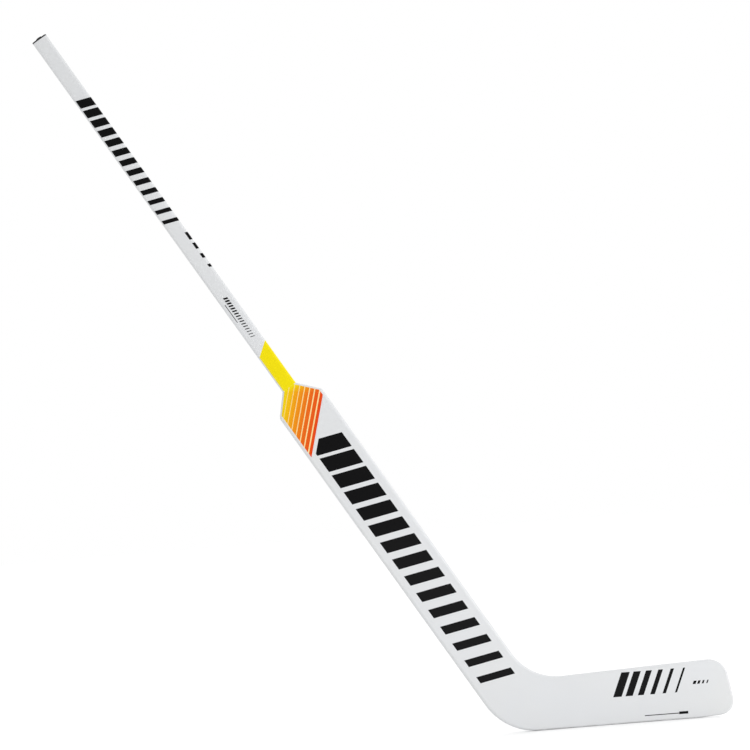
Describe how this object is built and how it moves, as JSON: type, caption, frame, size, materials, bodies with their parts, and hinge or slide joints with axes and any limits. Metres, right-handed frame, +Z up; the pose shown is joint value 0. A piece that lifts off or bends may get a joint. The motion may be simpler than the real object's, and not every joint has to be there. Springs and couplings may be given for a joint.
{
  "type": "hockey goalie stick",
  "caption": "Hockey goalie stick: rounded-rectangle tube shaft with a pull-out end plug, wide flat foam-cored paddle with sloping shoulders, and a curved blade with a flat sole.",
  "frame": {"origin": "on the flat sole, at the middle of the blade's length, in the plane of the shaft's centreline", "axes": "+X along the blade towards the toe, +Z up from the ice, -Y out of the playing face; the shaft leans back towards -X at its lie angle"},
  "size_m": [1.0703, 0.0251, 1.218],
  "materials": {
    "white_paint": "white gloss paint with printed bars and an orange fade, on moulded laminate",
    "black_plastic": "black moulded plastic, fine texture",
    "elastomer": "soft black elastomer",
    "carbon_laminate": "bare carbon laminate",
    "dense_core": "dense structural foam",
    "edge_rail": "light laminated hardwood",
    "foam_core": "fine cell rigid foam"
  },
  "bodies": {
    "stick": {"shaft_tube": "white_paint", "front_shell": "white_paint", "back_shell": "white_paint", "joint_spigot": "carbon_laminate", "vibration_damper": "elastomer", "front_carbon_ply": "carbon_laminate", "back_carbon_ply": "carbon_laminate", "shoulder_block": "dense_core", "paddle_spine": "carbon_laminate", "paddle_core_toe_side": "foam_core", "paddle_core_back_side": "foam_core", "paddle_rail_toe_side": "edge_rail", "paddle_rail_back_side": "edge_rail", "heel_block": "dense_core", "blade_core_upper": "foam_core", "blade_core_lower": "foam_core", "blade_rib": "carbon_laminate", "sole_rail": "edge_rail", "top_rail": "edge_rail"},
    "plug": {"end_plug": "black_plastic"}
  },
  "joints": [
    {"name": "plug_pull", "type": "slide", "parent": "stick", "child": "plug", "axis": [-0.515, 0, 0.8572], "range_m": [0, 0.045]}
  ]
}
